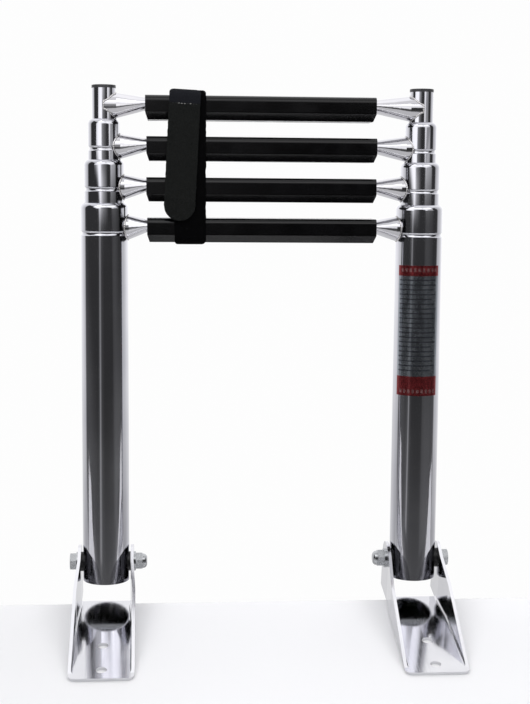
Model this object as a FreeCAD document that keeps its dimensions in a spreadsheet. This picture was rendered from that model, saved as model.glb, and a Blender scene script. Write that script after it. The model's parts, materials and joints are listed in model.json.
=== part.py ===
import FreeCAD, Part
import math
import os
import re

import Sketcher

# Telescoping stainless-steel boarding ladder with two hinged platform brackets, closed, held shut by a strap.
#
# World frame: +X to the right, +Y away from the platform (towards the water), +Z up. The platform surface is
# z = 0 and the origin is the centre of the four platform bolt holes.
# Ladder frame: the same X, Z up along the tubes, origin on the pivot axis midway between the two brackets. At
# rest the ladder leans back from upright by lean_deg.

Vector = FreeCAD.Vector
Rotation = FreeCAD.Rotation
Placement = FreeCAD.Placement

doc = FreeCAD.newDocument("BoardingLadder")
sheet = doc.addObject("Spreadsheet::Sheet", "Sizes")

SIZES = {
    # whole ladder
    "half_gauge": 128.7,         # X of each tube axis
    "lean_deg": 11.5,            # backward lean of the ladder at rest
    "pivot_y": 99.0,             # pivot axis behind the centre of the bolt holes
    "pivot_rise": 35.0,          # pivot axis above the platform
    "wall": 1.2,                 # tube wall
    "main_radius": 19.05,
    "first_radius": 15.875,
    "second_radius": 12.7,
    "third_radius": 9.525,
    # heights in the ladder frame
    "main_rung_z": 277.2,
    "rung_pitch": 32.4,
    "main_foot_z": -15.0,
    "first_foot_z": 17.0,
    "third_top_z": 388.0,
    # rolled tube ends
    "main_shoulder_rise": 19.6,  # top of the main tube above its rung axis
    "shoulder_rise": 21.6,       # the same on the first and second tubes
    "main_groove_drop": 4.6,     # rolled groove below the rung axis
    "groove_drop": 1.8,
    "groove_half": 2.0,
    "groove_depth": 1.0,
    "shoulder_height": 4.2,
    "neck_gap": 0.5,             # rolled neck to the tube inside it
    # guide bushes and stop collars
    "slide_gap": 0.3,
    "fit_gap": 0.02,
    "collar_height": 15.0,
    # rungs
    "rung_radius": 10.0,
    "rung_wall": 1.2,
    "flat_half_depth": 13.4,     # flattened middle of the rung, an ellipse
    "flat_half_height": 5.5,
    "flat_lift": 1.5,
    "flat_half_length": 92.6,
    "weld_reach": 0.6,           # round part of the rung beyond the side tube
    # treads
    "main_tread_x": -1.7,        # each tread sits a little to the left
    "first_tread_x": -2.3,
    "second_tread_x": -2.2,
    "third_tread_x": -3.2,
    "tread_half_length": 92.4,
    "tread_half_depth": 18.5,
    "tread_top": 8.0,
    "tread_bottom": -11.3,
    "tread_corner": 4.5,
    "tread_edge": -5.4,          # start of the lower bevel
    "tread_half_flat": 12.6,     # half depth of the stepping face
    "tread_groove": 0.8,
    "tread_end_cut": 2.6,
    "rib_pitch": 4.2,
    "rib_gap": 1.5,
    "tread_fit": 0.1,
    # brackets
    "sheet_thickness": 2.5,
    "bend_radius": 4.0,
    "ear_radius": 14.0,
    "base_start": 8.5,           # base plate starts this far in front of the pivot
    "parallel_length": 16.0,     # ears run parallel this far in front of the pivot
    "flare_length": 45.0,        # and have spread this far in front of it
    "wall_front": 121.5,         # pivot axis to the low end of the walls
    "bracket_front": 129.0,      # pivot axis to the front end
    "bracket_width": 45.8,       # at the ears
    "flare_width": 49.6,
    "bracket_front_width": 50.8,
    "front_corner": 6.0,
    "front_hole": 117.0,         # bolt hole in front of the pivot
    "hole_pitch": 36.0,
    "base_hole_radius": 4.25,
    "pivot_hole_radius": 4.2,
    # pivot hardware
    "bolt_radius": 4.0,
    "bolt_end_gap": 1.0,         # end of the bolt to the bottom of the nut's bore
    "hex_flats": 13.0,
    "hex_chamfer": 2.0,
    "hex_chamfer_rise": 3.0,
    "head_height": 5.3,
    "washer_radius": 8.0,
    "washer_thickness": 1.6,
    "washer_bore": 4.2,
    "nut_hex_height": 5.6,
    "nut_height": 9.4,
    "nut_dome_radius": 6.0,
    "dome_collar": 0.5,          # straight part of the dome above the hexagon
    "dome_flat": 3.0,
    "nut_bore_depth": 7.0,
    "sleeve_radius": 6.0,
    "sleeve_bore": 4.05,
    "ear_gap": 0.1,              # sleeve and spacers to the ears
    "spacer_radius": 8.0,
    # end caps
    "cap_radius": 9.7,
    "cap_height": 2.5,
    "cap_round": 0.6,
    "plug_depth": 14.0,
    # strap
    "strap_x": -59.8,
    "strap_width": 25.0,
    "strap_thickness": 1.8,
    "strap_gap": 0.5,            # strap to the treads
    "strap_headroom": 2.9,       # strap above the top tread
    "strap_corner": 5.0,
    "tab_gap": 0.3,
    "tab_top_z": 385.0,
    "tab_length": 102.0,
    "tab_shift": -4.1,
    "tab_tilt_deg": 2.8,
    # label
    "label_low_z": 141.0,
    "label_high_z": 248.0,
    "label_thickness": 0.15,
    "label_arc_deg": 112.0,
    "label_turn_deg": -8.6,
    # cutting outlines run this far past the material
    "trim": 2.0,
}

for row, (alias, number) in enumerate(SIZES.items(), start=1):
    sheet.set(f"A{row}", alias)
    sheet.set(f"B{row}", str(number))
    sheet.setAlias(f"B{row}", alias)
doc.recompute()

PIECES = []  # every sub-part that is written out
WORDS = "sqrt|sin|cos|atan|acos|deg"  # words of an expression that aren't aliases


def bound(text):
    """An expression on the sheet's aliases, as FreeCAD reads it from another object."""
    return re.sub(rf"\b(?!(?:{WORDS})\b)[a-z][a-z_]+", lambda word: "Sizes." + word.group(0), text)


def size(text):
    """The present value of an expression on the sheet's aliases."""
    return float(sheet.evalExpression(bound(text)))


def ladder_pose(x="0", turn=None):
    """Placement of a ladder piece: its own X offset and turn, then the lean about the pivot axis."""
    lean = Placement(
        Vector(0, size("pivot_y"), size("pivot_rise")), Rotation(Vector(1, 0, 0), -size("lean_deg"))
    )
    return lean * Placement(Vector(size(x), 0, 0), turn or Rotation())


def bracket_pose(side, height):
    """Placement of a bracket piece: right way round on the right, turned half round on the left."""
    place = Vector(side * size("half_gauge"), size("pivot_y"), size(height))
    return Placement(place, Rotation(Vector(0, 0, 1), 0 if side > 0 else 180))


def keep(piece, label, pose):
    piece.Label = label
    piece.Placement = pose
    PIECES.append(piece)
    return piece


# ---------------------------------------------------------------- sketches and features


def new_sketch(body, role, name, offset="0"):
    """A sketch on one of the body's origin planes, moved along the plane's normal."""
    plane = [f for f in body.Origin.OriginFeatures if f.Role == role][0]
    sketch = body.newObject("Sketcher::SketchObject", name)
    sketch.AttachmentSupport = [(plane, "")]
    sketch.MapMode = "FlatFace"
    if offset != "0":
        sketch.AttachmentOffset = Placement(Vector(0, 0, size(offset)), Rotation())
        sketch.setExpression("AttachmentOffset.Base.z", bound(offset))
    return sketch


def pin_point(sketch, geometry, point, x, y):
    """Fix a sketch point at two expressions on the sheet; "0" puts it on the axis."""
    for text, kind, axis in ((x, "DistanceX", -2), (y, "DistanceY", -1)):
        if text == "0":
            sketch.addConstraint(Sketcher.Constraint("PointOnObject", geometry, point, axis))
        else:
            index = sketch.addConstraint(Sketcher.Constraint(kind, -1, 1, geometry, point, size(text)))
            sketch.setExpression(f"Constraints[{index}]", bound(text))


def arc_between(start, end, centre_x, centre_y):
    """The shorter arc from start to end, its centre given by one coordinate, and whether it is reversed."""
    if centre_y is not None:
        gap = (centre_y - end.y) ** 2 - (centre_y - start.y) ** 2
        centre_x = (end.x**2 - start.x**2 + gap) / (2 * (end.x - start.x))
    else:
        gap = (centre_x - end.x) ** 2 - (centre_x - start.x) ** 2
        centre_y = (end.y**2 - start.y**2 + gap) / (2 * (end.y - start.y))
    centre = Vector(centre_x, centre_y, 0)
    first = math.atan2(start.y - centre_y, start.x - centre_x)
    last = math.atan2(end.y - centre_y, end.x - centre_x)
    backwards = (last - first) % (2 * math.pi) > math.pi
    if backwards:
        first, last = last, first
    circle = Part.Circle(centre, Vector(0, 0, 1), (start - centre).Length)
    return Part.ArcOfCircle(circle, first, last), backwards


def outline(sketch, points):
    """A closed outline. Each point is (x, y), or (x, y, "cx" or "cy", centre) where an arc leaves it."""
    spots = [Vector(size(p[0]), size(p[1]), 0) for p in points]
    ends = []
    for index, spot in enumerate(spots):
        after = spots[(index + 1) % len(spots)]
        if len(points[index]) == 2:
            ends.append((sketch.addGeometry(Part.LineSegment(spot, after), False), 1, 2))
            continue
        centre = size(points[index][3])
        along_x = points[index][2] == "cx"
        arc, backwards = arc_between(spot, after, centre if along_x else None, None if along_x else centre)
        ends.append((sketch.addGeometry(arc, False), *((2, 1) if backwards else (1, 2))))
    for index, (geometry, first, last) in enumerate(ends):
        following = ends[(index + 1) % len(ends)]
        sketch.addConstraint(Sketcher.Constraint("Coincident", geometry, last, following[0], following[1]))
        pin_point(sketch, geometry, first, points[index][0], points[index][1])
        if len(points[index]) > 2:
            kind = "DistanceX" if points[index][2] == "cx" else "DistanceY"
            text = points[index][3]
            added = sketch.addConstraint(Sketcher.Constraint(kind, -1, 1, geometry, 3, size(text)))
            sketch.setExpression(f"Constraints[{added}]", bound(text))


def circle(sketch, x, y, radius):
    shape = Part.Circle(Vector(size(x), size(y), 0), Vector(0, 0, 1), size(radius))
    geometry = sketch.addGeometry(shape, False)
    pin_point(sketch, geometry, 3, x, y)
    index = sketch.addConstraint(Sketcher.Constraint("Radius", geometry, size(radius)))
    sketch.setExpression(f"Constraints[{index}]", bound(radius))


def hexagon(sketch, flats):
    """A hexagon about the sketch origin, with two corners on the vertical axis."""
    half, corner = f"({flats}) / 2", f"({flats}) / sqrt(3)"
    outline(sketch, [
        ("0", corner), (f"-{half}", f"{corner} / 2"), (f"-{half}", f"-{corner} / 2"),
        ("0", f"-{corner}"), (half, f"-{corner} / 2"), (half, f"{corner} / 2"),
    ])


def pad(body, sketch, length, both_ways=False, backwards=False):
    feature = body.newObject("PartDesign::Pad", sketch.Name + "Pad")
    feature.Profile = sketch
    feature.setExpression("Length", bound(length))
    feature.Midplane = both_ways
    feature.Reversed = backwards
    return feature


def cut_through(body, sketch):
    """A pocket both ways through everything."""
    feature = body.newObject("PartDesign::Pocket", sketch.Name + "Pocket")
    feature.Profile = sketch
    feature.Type = 1
    feature.Midplane = True
    return feature


def revolve(body, sketch, axis="V_Axis", kind="Revolution", angle=None):
    feature = body.newObject("PartDesign::" + kind, sketch.Name + kind)
    feature.Profile = sketch
    feature.ReferenceAxis = (sketch, [axis])
    if angle:
        feature.setExpression("Angle", bound(angle))
    else:
        feature.Angle = 360
    return feature


def new_body(name):
    return doc.addObject("PartDesign::Body", name)


def ring(name, pose, inner, outer, low, high):
    """A ring about the ladder-frame Z of its own tube."""
    body = new_body(name)
    sketch = new_sketch(body, "XZ_Plane", name + "Section")
    outline(sketch, [(inner, low), (outer, low), (outer, high), (inner, high)])
    revolve(body, sketch)
    return keep(body, name, pose)


def cross_ring(name, pose, inner, outer, start, length):
    """A ring about the pivot axis, from start along local X."""
    body = new_body(name)
    sketch = new_sketch(body, "YZ_Plane", name + "Section", start)
    circle(sketch, "0", "0", outer)
    circle(sketch, "0", "0", inner)
    pad(body, sketch, length)
    return keep(body, name, pose)


# ---------------------------------------------------------------- telescoping tubes

SIDES = (("left", -1), ("right", 1))

# name, radius, rung axis, groove and shoulder heights, foot
RUNG_Z = ["main_rung_z"] + [f"(main_rung_z + {n} * rung_pitch)" for n in (1, 2, 3)]
STAGES = [
    ("main", "main_radius", RUNG_Z[0], "main_groove_drop", "main_shoulder_rise", "main_foot_z"),
    ("first", "first_radius", RUNG_Z[1], "groove_drop", "shoulder_rise", "first_foot_z"),
    ("second", "second_radius", RUNG_Z[2], "groove_drop", "shoulder_rise", "(first_foot_z + rung_pitch)"),
    ("third", "third_radius", RUNG_Z[3], None, None, "(first_foot_z + 2 * rung_pitch)"),
]


def stage_tube(name, pose, stage, inner_radius, pivot_hole):
    """A tube with a rolled groove near its top and its end rolled in towards the tube inside it."""
    _, radius, rung_z, drop, rise, foot = stage
    groove, top = f"({rung_z} - {drop})", f"({rung_z} + {rise})"
    neck, bore = f"({inner_radius} + neck_gap)", f"({radius} - wall)"
    swing = "(groove_half * groove_half + groove_depth * groove_depth) / (2 * groove_depth)"
    body = new_body(name)
    sketch = new_sketch(body, "XZ_Plane", name + "Section")
    outline(sketch, [
        (radius, foot),
        (radius, f"{groove} - groove_half", "cx", f"{radius} - groove_depth + {swing}"),
        (radius, f"{groove} + groove_half"),
        (radius, f"{top} - shoulder_height", "cy", f"{top} - shoulder_height"),
        (neck, top),
        (neck, f"{top} - wall", "cy", f"{top} - shoulder_height"),
        (bore, f"{top} - shoulder_height"),
        (bore, f"{groove} + groove_half", "cx", f"{bore} - groove_depth + {swing}"),
        (bore, f"{groove} - groove_half"),
        (bore, foot),
    ])
    revolve(body, sketch)
    if pivot_hole:
        hole = new_sketch(body, "YZ_Plane", name + "PivotHole")
        circle(hole, "0", "0", "sleeve_radius + fit_gap")
        cut_through(body, hole)
    return keep(body, name, pose)


def telescope(side_name, side):
    pose = ladder_pose(f"{side} * half_gauge")
    for stage, inside in zip(STAGES, STAGES[1:]):
        name = f"{side_name}_{stage[0]}"
        stage_tube(f"{name}_tube", pose, stage, inside[1], stage[0] == "main")
        ring(
            f"{name}_guide_bush", pose, f"{inside[1]} + slide_gap", f"{stage[1]} - wall - fit_gap",
            f"{stage[2]} - {stage[3]} + groove_half + fit_gap",
            f"{stage[2]} + {stage[4]} - shoulder_height - fit_gap",
        )
        ring(
            f"{side_name}_{inside[0]}_stop_collar", pose, f"{inside[1]} + fit_gap",
            f"{stage[1]} - wall - slide_gap", inside[5], f"{inside[5]} + collar_height",
        )
    _, radius, _, _, _, foot = STAGES[3]
    ring(f"{side_name}_third_tube", pose, f"{radius} - wall", radius, foot, "third_top_z")


def end_cap(name, pose):
    """A rounded plastic disc with a plug that fits the top of the third tube."""
    plug, low, top = "(third_radius - wall - fit_gap)", "third_top_z", "(third_top_z + cap_height)"
    body = new_body(name)
    sketch = new_sketch(body, "XZ_Plane", name + "Section")
    outline(sketch, [
        ("0", f"{low} - plug_depth"), (plug, f"{low} - plug_depth"), (plug, low),
        ("cap_radius", low), ("cap_radius", f"{top} - cap_round", "cy", f"{top} - cap_round"),
        ("cap_radius - cap_round", top), ("0", top),
    ])
    revolve(body, sketch)
    keep(body, name, pose)


# ---------------------------------------------------------------- rungs and treads


def across(kind, name, x, lift, radii):
    """A circle or ellipse across the rung, its long radius front to back."""
    curve = doc.addObject("Part::" + kind, name)
    for prop, text in radii.items():
        curve.setExpression(prop, bound(text))
    curve.Placement = Placement(Vector(size(x), 0, size(lift)), Rotation(Vector(1, 1, 1), 120))
    curve.setExpression("Placement.Base.x", bound(x))
    curve.setExpression("Placement.Base.z", bound(lift))
    return curve


def rung_loft(name, stage, shrink):
    """The rung's skin, shrunk by a wall: round at the tubes, flattened and lifted under the tread."""
    stage_name, radius, rung_z = stage[:3]
    tread_x = stage_name + "_tread_x"
    round_x = f"(half_gauge - {radius} - weld_reach)"
    round_size = {"Radius": f"rung_radius - {shrink}"}
    flat_size = {"MajorRadius": f"flat_half_depth - {shrink}", "MinorRadius": f"flat_half_height - {shrink}"}
    stations = [
        ("Circle", "-half_gauge", rung_z, round_size),
        ("Circle", f"-{round_x}", rung_z, round_size),
        ("Ellipse", f"{tread_x} - flat_half_length", f"{rung_z} + flat_lift", flat_size),
        ("Ellipse", f"{tread_x} + flat_half_length", f"{rung_z} + flat_lift", flat_size),
        ("Circle", round_x, rung_z, round_size),
        ("Circle", "half_gauge", rung_z, round_size),
    ]
    loft = doc.addObject("Part::Loft", name)
    loft.Sections = [across(kind, f"{name}Station{n}", *rest) for n, (kind, *rest) in enumerate(stations)]
    loft.Solid = True
    loft.Ruled = True
    return loft


def side_cylinder(name, x, radius):
    """A long cylinder on a side tube's axis, used to shape what meets the tube."""
    tool = doc.addObject("Part::Cylinder", name)
    tool.setExpression("Radius", bound(radius))
    tool.setExpression("Height", bound("2 * third_top_z"))
    tool.Placement = Placement(Vector(size(x), 0, size("-third_top_z")), Rotation())
    tool.setExpression("Placement.Base.x", bound(x))
    tool.setExpression("Placement.Base.z", bound("-third_top_z"))
    return tool


def rung(stage):
    name = stage[0] + "_rung"
    hollow = doc.addObject("Part::MultiFuse", name + "Tool")
    hollow.Shapes = [rung_loft(name + "Bore", stage, "rung_wall")] + [
        side_cylinder(f"{name}{side_name}Saddle", f"{side} * half_gauge", stage[1])
        for side_name, side in SIDES
    ]
    cut = doc.addObject("Part::Cut", name)
    cut.Base = rung_loft(name + "Skin", stage, "0")
    cut.Tool = hollow
    return keep(cut, name, ladder_pose())


def tread_outline(axis_z):
    """Half of the tread's section, from the middle of its top to the middle of its stepping face."""
    def at(depth, height):
        return (depth, f"{axis_z} + {height}")

    corner = "(tread_half_depth - tread_corner)"
    half = [
        at(corner, "tread_top") + ("cx", corner),
        at("tread_half_depth", "tread_top - tread_corner"),
        at("tread_half_depth", "tread_edge + tread_groove"),
        at("tread_half_depth - tread_groove", "tread_edge + tread_groove"),
        at("tread_half_depth - tread_groove", "tread_edge"),
        at("tread_half_depth", "tread_edge"),
        at("tread_half_flat", "tread_bottom"),
    ]
    for rib in (2, 1):
        outer, inner = (f"({rib} * rib_pitch {sign} rib_gap / 2)" for sign in "+-")
        half += [at(outer, "tread_bottom"), at(outer, "tread_bottom + tread_groove")]
        half += [at(inner, "tread_bottom + tread_groove"), at(inner, "tread_bottom")]
    return half


def mirrored(half):
    """The other half of a symmetric outline, so that the two make one closed outline."""
    other = []
    for index in range(len(half) - 1, -1, -1):
        depth, height = half[index][:2]
        point = (f"-({depth})", height)
        before = half[index - 1] if index else ()
        if len(before) > 2:
            point += (before[2], f"-({before[3]})")
        other.append(point)
    return half + other


def tread(stage):
    name = stage[0] + "_tread"
    axis_z = stage[2]
    body = new_body(name)
    section = new_sketch(body, "YZ_Plane", name + "Section")
    outline(section, mirrored(tread_outline(axis_z)))
    pad(body, section, "2 * tread_half_length", both_ways=True)
    slot = new_sketch(body, "YZ_Plane", name + "Slot")
    middle = f"({axis_z} + flat_lift)"
    ellipse = Part.Ellipse(
        Vector(0, size(middle), 0), size("flat_half_depth + tread_fit"), size("flat_half_height + tread_fit")
    )
    geometry = slot.addGeometry(ellipse, False)
    slot.exposeInternalGeometry(geometry)
    pin_point(slot, geometry, 3, "0", middle)
    major, minor = geometry + 1, geometry + 2
    slot.addConstraint(Sketcher.Constraint("Horizontal", major))
    for line, half in ((major, "flat_half_depth"), (minor, "flat_half_height")):
        length = f"2 * ({half} + tread_fit)"
        index = slot.addConstraint(Sketcher.Constraint("Distance", line, size(length)))
        slot.setExpression(f"Constraints[{index}]", bound(length))
    cut_through(body, slot)
    for side_name, sign in (("Left", "-"), ("Right", "")):
        end = new_sketch(body, "XZ_Plane", f"{name}{side_name}End")
        reach = f"{sign}(tread_half_length + trim)"
        outline(end, [
            (f"{sign}tread_half_length", f"{axis_z} + tread_edge"),
            (reach, f"{axis_z} + tread_edge"),
            (reach, f"{axis_z} + tread_bottom - trim"),
            (f"{sign}(tread_half_length - tread_end_cut)", f"{axis_z} + tread_bottom - trim"),
        ])
        cut_through(body, end)
    return keep(body, name, ladder_pose(name + "_x"))


# ---------------------------------------------------------------- brackets and pivots


def channel_section(body, name, offset, width):
    """The bent U of the bracket, across its length, its flat underside left deep for a plane cut."""
    sketch = new_sketch(body, "XZ_Plane", name, offset)
    half, inner = f"({width} / 2)", f"({width} / 2 - sheet_thickness)"
    turn = f"({half} - bend_radius)"
    height = "(pivot_rise + ear_radius + trim)"
    outline(sketch, [
        (half, height), (half, "bend_radius", "cy", "bend_radius"), (turn, "0"), (turn, "-trim"),
        (f"-{turn}", "-trim"), (f"-{turn}", "0", "cy", "bend_radius"), (f"-{half}", "bend_radius"),
        (f"-{half}", height), (f"-{inner}", height), (f"-{inner}", "bend_radius", "cy", "bend_radius"),
        (f"-{turn}", "sheet_thickness"), (turn, "sheet_thickness", "cy", "bend_radius"),
        (inner, "bend_radius"), (inner, height),
    ])
    return sketch


def bracket(side_name, side):
    """A bent U-channel: round-topped ears at the pivot, falling to a flat round-cornered front end."""
    name = side_name + "_bracket"
    body = new_body(name)
    sections = [
        channel_section(body, f"{name}Rear", "-ear_radius - trim", "bracket_width"),
        channel_section(body, f"{name}Bend", "parallel_length", "bracket_width"),
        channel_section(body, f"{name}Flare", "flare_length", "flare_width"),
        channel_section(body, f"{name}Front", "bracket_front", "bracket_front_width"),
    ]
    loft = body.newObject("PartDesign::AdditiveLoft", name + "Channel")
    loft.Profile = sections[0]
    loft.Sections = sections[1:]
    loft.Ruled = True

    under = new_sketch(body, "YZ_Plane", name + "Underside")
    front, past = "(-bracket_front - trim)", "(ear_radius + 2 * trim)"
    outline(under, [(front, "0"), (past, "0"), (past, "-2 * trim"), (front, "-2 * trim")])
    cut_through(body, under)

    ears = new_sketch(body, "YZ_Plane", name + "Ears")
    fall = "(pivot_rise - sheet_thickness)"
    reach = f"sqrt(wall_front * wall_front + {fall} * {fall})"
    touch = f"(180 deg + atan({fall} / wall_front) - acos(ear_radius / {reach}))"
    clear = "(pivot_rise + ear_radius + 2 * trim)"
    outline(ears, [
        ("-wall_front", "sheet_thickness"),
        (f"ear_radius * cos({touch})", f"pivot_rise + ear_radius * sin({touch})", "cy", "pivot_rise"),
        ("ear_radius", "pivot_rise"), ("ear_radius", "-trim"), (past, "-trim"),
        (past, clear), (front, clear), (front, "sheet_thickness"),
    ])
    cut_through(body, ears)

    notch = new_sketch(body, "XY_Plane", name + "Notch")
    inner = "(bracket_width / 2 - sheet_thickness)"
    outline(notch, [
        (f"-{inner}", "-base_start"), (inner, "-base_start"),
        (inner, "ear_radius + trim"), (f"-{inner}", "ear_radius + trim"),
    ])
    cut_through(body, notch)

    corners = new_sketch(body, "XY_Plane", name + "FrontCorners")
    wide, turn = "bracket_front_width / 2", "(front_corner - bracket_front)"
    for sign in ("", "-"):
        start, outer = f"{sign}({wide} - front_corner)", f"{sign}({wide} + trim)"
        outline(corners, [
            (f"{sign}{wide}", turn, "cx", start), (start, "-bracket_front"), (start, front),
            (outer, front), (outer, turn),
        ])
    cut_through(body, corners)

    holes = new_sketch(body, "XY_Plane", name + "Holes")
    for place in ("-front_hole", "hole_pitch - front_hole"):
        circle(holes, "0", place, "base_hole_radius")
    cut_through(body, holes)
    pivots = new_sketch(body, "YZ_Plane", name + "PivotHoles")
    circle(pivots, "0", "pivot_rise", "pivot_hole_radius")
    cut_through(body, pivots)
    pose = Placement(Vector(side * size("half_gauge"), size("pivot_y"), 0), Rotation())
    return keep(body, name, pose)


def chamfered_hex(name, flats, start, height, towards):
    """A hexagonal head along local X, its outer corners turned off; towards is +1 or -1 along X."""
    body = new_body(name)
    sketch = new_sketch(body, "YZ_Plane", name + "Hex", start)
    hexagon(sketch, flats)
    pad(body, sketch, height, backwards=towards < 0)
    corner = new_sketch(body, "XZ_Plane", name + "Corners")
    sign = "" if towards > 0 else "-"
    face = f"{start} + {sign}{height}"
    back = f"{face} - {sign}hex_chamfer"
    outline(corner, [
        (face, f"{flats} / 2"), (face, flats), (back, flats), (back, f"{flats} / 2 + hex_chamfer_rise"),
    ])
    revolve(body, corner, axis="H_Axis", kind="Groove")
    return body


EAR_FACE = "(bracket_width / 2)"


def pivot_hardware(side_name, side):
    """The bolt goes in from the ladder's outer side, and its dome nut sits on the inner side."""
    name = side_name + "_pivot"
    pose = bracket_pose(side, "pivot_rise")
    seat = f"({EAR_FACE} + washer_thickness)"

    bolt = chamfered_hex(f"{name}_bolt", "hex_flats", seat, "head_height", 1)
    shank = new_sketch(bolt, "YZ_Plane", name + "Shank", seat)
    circle(shank, "0", "0", "bolt_radius")
    pad(bolt, shank, f"2 * {seat} + nut_bore_depth - bolt_end_gap", backwards=True)
    keep(bolt, f"{name}_bolt", pose)

    cross_ring(f"{name}_bolt_washer", pose, "washer_bore", "washer_radius", EAR_FACE, "washer_thickness")
    cross_ring(f"{name}_nut_washer", pose, "washer_bore", "washer_radius", f"-{seat}", "washer_thickness")

    nut = chamfered_hex(f"{name}_dome_nut", "hex_flats", f"-{seat}", "nut_hex_height", -1)
    dome = new_sketch(nut, "XZ_Plane", name + "Dome")
    collar, tip = f"(-{seat} - nut_hex_height - dome_collar)", f"(-{seat} - nut_height)"
    outline(dome, [
        (f"-{seat}", "0"), (f"-{seat}", "nut_dome_radius"), (collar, "nut_dome_radius", "cx", collar),
        (tip, "dome_flat"), (tip, "0"),
    ])
    revolve(nut, dome, axis="H_Axis")
    thread = new_sketch(nut, "YZ_Plane", name + "Thread", f"-{seat}")
    circle(thread, "0", "0", "bolt_radius + fit_gap")
    bore = nut.newObject("PartDesign::Pocket", thread.Name + "Pocket")
    bore.Profile = thread
    bore.setExpression("Length", bound("nut_bore_depth"))
    keep(nut, f"{name}_dome_nut", pose)


def pivot_sleeve_and_spacers(side_name, side):
    """The sleeve the tube turns on, and a saddle spacer each side, coped to the round of the tube."""
    pose = ladder_pose(f"{side} * half_gauge")
    span = "(bracket_width - 2 * sheet_thickness - 2 * ear_gap)"
    cross_ring(f"{side_name}_pivot_sleeve", pose, "sleeve_bore", "sleeve_radius", f"-{span} / 2", span)
    name = side_name + "_saddle_spacers"
    rod, hole = (doc.addObject("Part::Cylinder", name + part) for part in ("Rod", "Hole"))
    for cylinder, radius in ((rod, "spacer_radius"), (hole, "sleeve_radius + fit_gap")):
        cylinder.setExpression("Radius", bound(radius))
        cylinder.setExpression("Height", bound(span))
        cylinder.Placement = Placement(Vector(-size(span) / 2, 0, 0), Rotation(Vector(0, 1, 0), 90))
        cylinder.setExpression("Placement.Base.x", bound(f"-{span} / 2"))
    tools = doc.addObject("Part::MultiFuse", name + "Tool")
    tools.Shapes = [hole, side_cylinder(name + "Saddle", "0", "main_radius + fit_gap")]
    cut = doc.addObject("Part::Cut", name)
    cut.Base = rod
    cut.Tool = tools
    keep(cut, name, pose)


# ---------------------------------------------------------------- strap and label


def rounded_box(sketch, half, low, high, corner):
    """A rectangle with rounded corners, in a sketch whose first axis is depth."""
    outline(sketch, [
        (f"{half} - {corner}", low, "cy", f"{low} + {corner}"), (half, f"{low} + {corner}"),
        (half, f"{high} - {corner}", "cy", f"{high} - {corner}"), (f"{half} - {corner}", high),
        (f"-({half} - {corner})", high, "cy", f"{high} - {corner}"), (f"-({half})", f"{high} - {corner}"),
        (f"-({half})", f"{low} + {corner}", "cy", f"{low} + {corner}"), (f"-({half} - {corner})", low),
    ])


def strap():
    """A band around all four treads, and its free end folded down over the front."""
    inside = "(tread_half_depth + strap_gap)"
    low = "(main_rung_z + tread_bottom - strap_gap)"
    high = f"({RUNG_Z[3]} + tread_top + strap_headroom)"
    loop = new_body("strap_loop")
    band = new_sketch(loop, "YZ_Plane", "StrapBand")
    rounded_box(
        band, f"({inside} + strap_thickness)", f"({low} - strap_thickness)", f"({high} + strap_thickness)",
        "(strap_corner + strap_thickness)",
    )
    rounded_box(band, inside, low, high, "strap_corner")
    pad(loop, band, "strap_width", both_ways=True)
    keep(loop, "strap_loop", ladder_pose("strap_x"))

    tab = new_body("strap_tab")
    front = f"({inside} + strap_thickness + tab_gap)"
    shape = new_sketch(tab, "XZ_Plane", "StrapTab", front)
    half, bend = "(strap_width / 2)", "(strap_width / 2 - tab_length)"
    outline(shape, [
        (half, "0"), (half, bend, "cy", bend), ("0", f"{bend} - {half}", "cy", bend),
        (f"-{half}", bend), (f"-{half}", "0"),
    ])
    pad(tab, shape, "strap_thickness")
    tilt = Placement(
        Vector(size("tab_shift"), 0, size("tab_top_z")), Rotation(Vector(0, 1, 0), size("tab_tilt_deg"))
    )
    keep(tab, "strap_tab", ladder_pose("strap_x") * tilt)


def label():
    """A thin film wrapped round the front of the right main tube."""
    body = new_body("label_film")
    sketch = new_sketch(body, "XZ_Plane", "LabelSection")
    inner = "(main_radius + fit_gap)"
    outline(sketch, [
        (inner, "label_low_z"), (f"{inner} + label_thickness", "label_low_z"),
        (f"{inner} + label_thickness", "label_high_z"), (inner, "label_high_z"),
    ])
    film = revolve(body, sketch, angle="label_arc_deg")
    film.Midplane = True
    turn = Rotation(Vector(0, 0, 1), -90 + size("label_turn_deg"))
    keep(body, "label_film", ladder_pose("half_gauge", turn))


# ---------------------------------------------------------------- assembly

for side_name, side in SIDES:
    bracket(side_name, side)
    pivot_hardware(side_name, side)
    pivot_sleeve_and_spacers(side_name, side)
    telescope(side_name, side)
    end_cap(side_name + "_end_cap", ladder_pose(f"{side} * half_gauge"))
for stage in STAGES:
    rung(stage)
    tread(stage)
strap()
label()

doc.recompute()
failed = [o.Name for o in doc.Objects if "Invalid" in o.State or "Error" in o.State]
if failed:
    raise RuntimeError("failed objects: " + ", ".join(failed))
os.makedirs("parts", exist_ok=True)
for piece in PIECES:
    if piece.Shape.isNull() or not piece.Shape.isValid() or piece.Shape.Volume <= 0:
        raise RuntimeError("bad shape: " + piece.Label)
for piece in PIECES:
    piece.Shape.exportStep(f"parts/{piece.Label}.step")
    print(f"{piece.Label}: {len(piece.Shape.Solids)} solid(s), {piece.Shape.Volume / 1000:.2f} cm3")
print(len(PIECES), "nodes")
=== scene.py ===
import json
import math

import bpy
from mathutils import Matrix, Vector, noise


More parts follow.
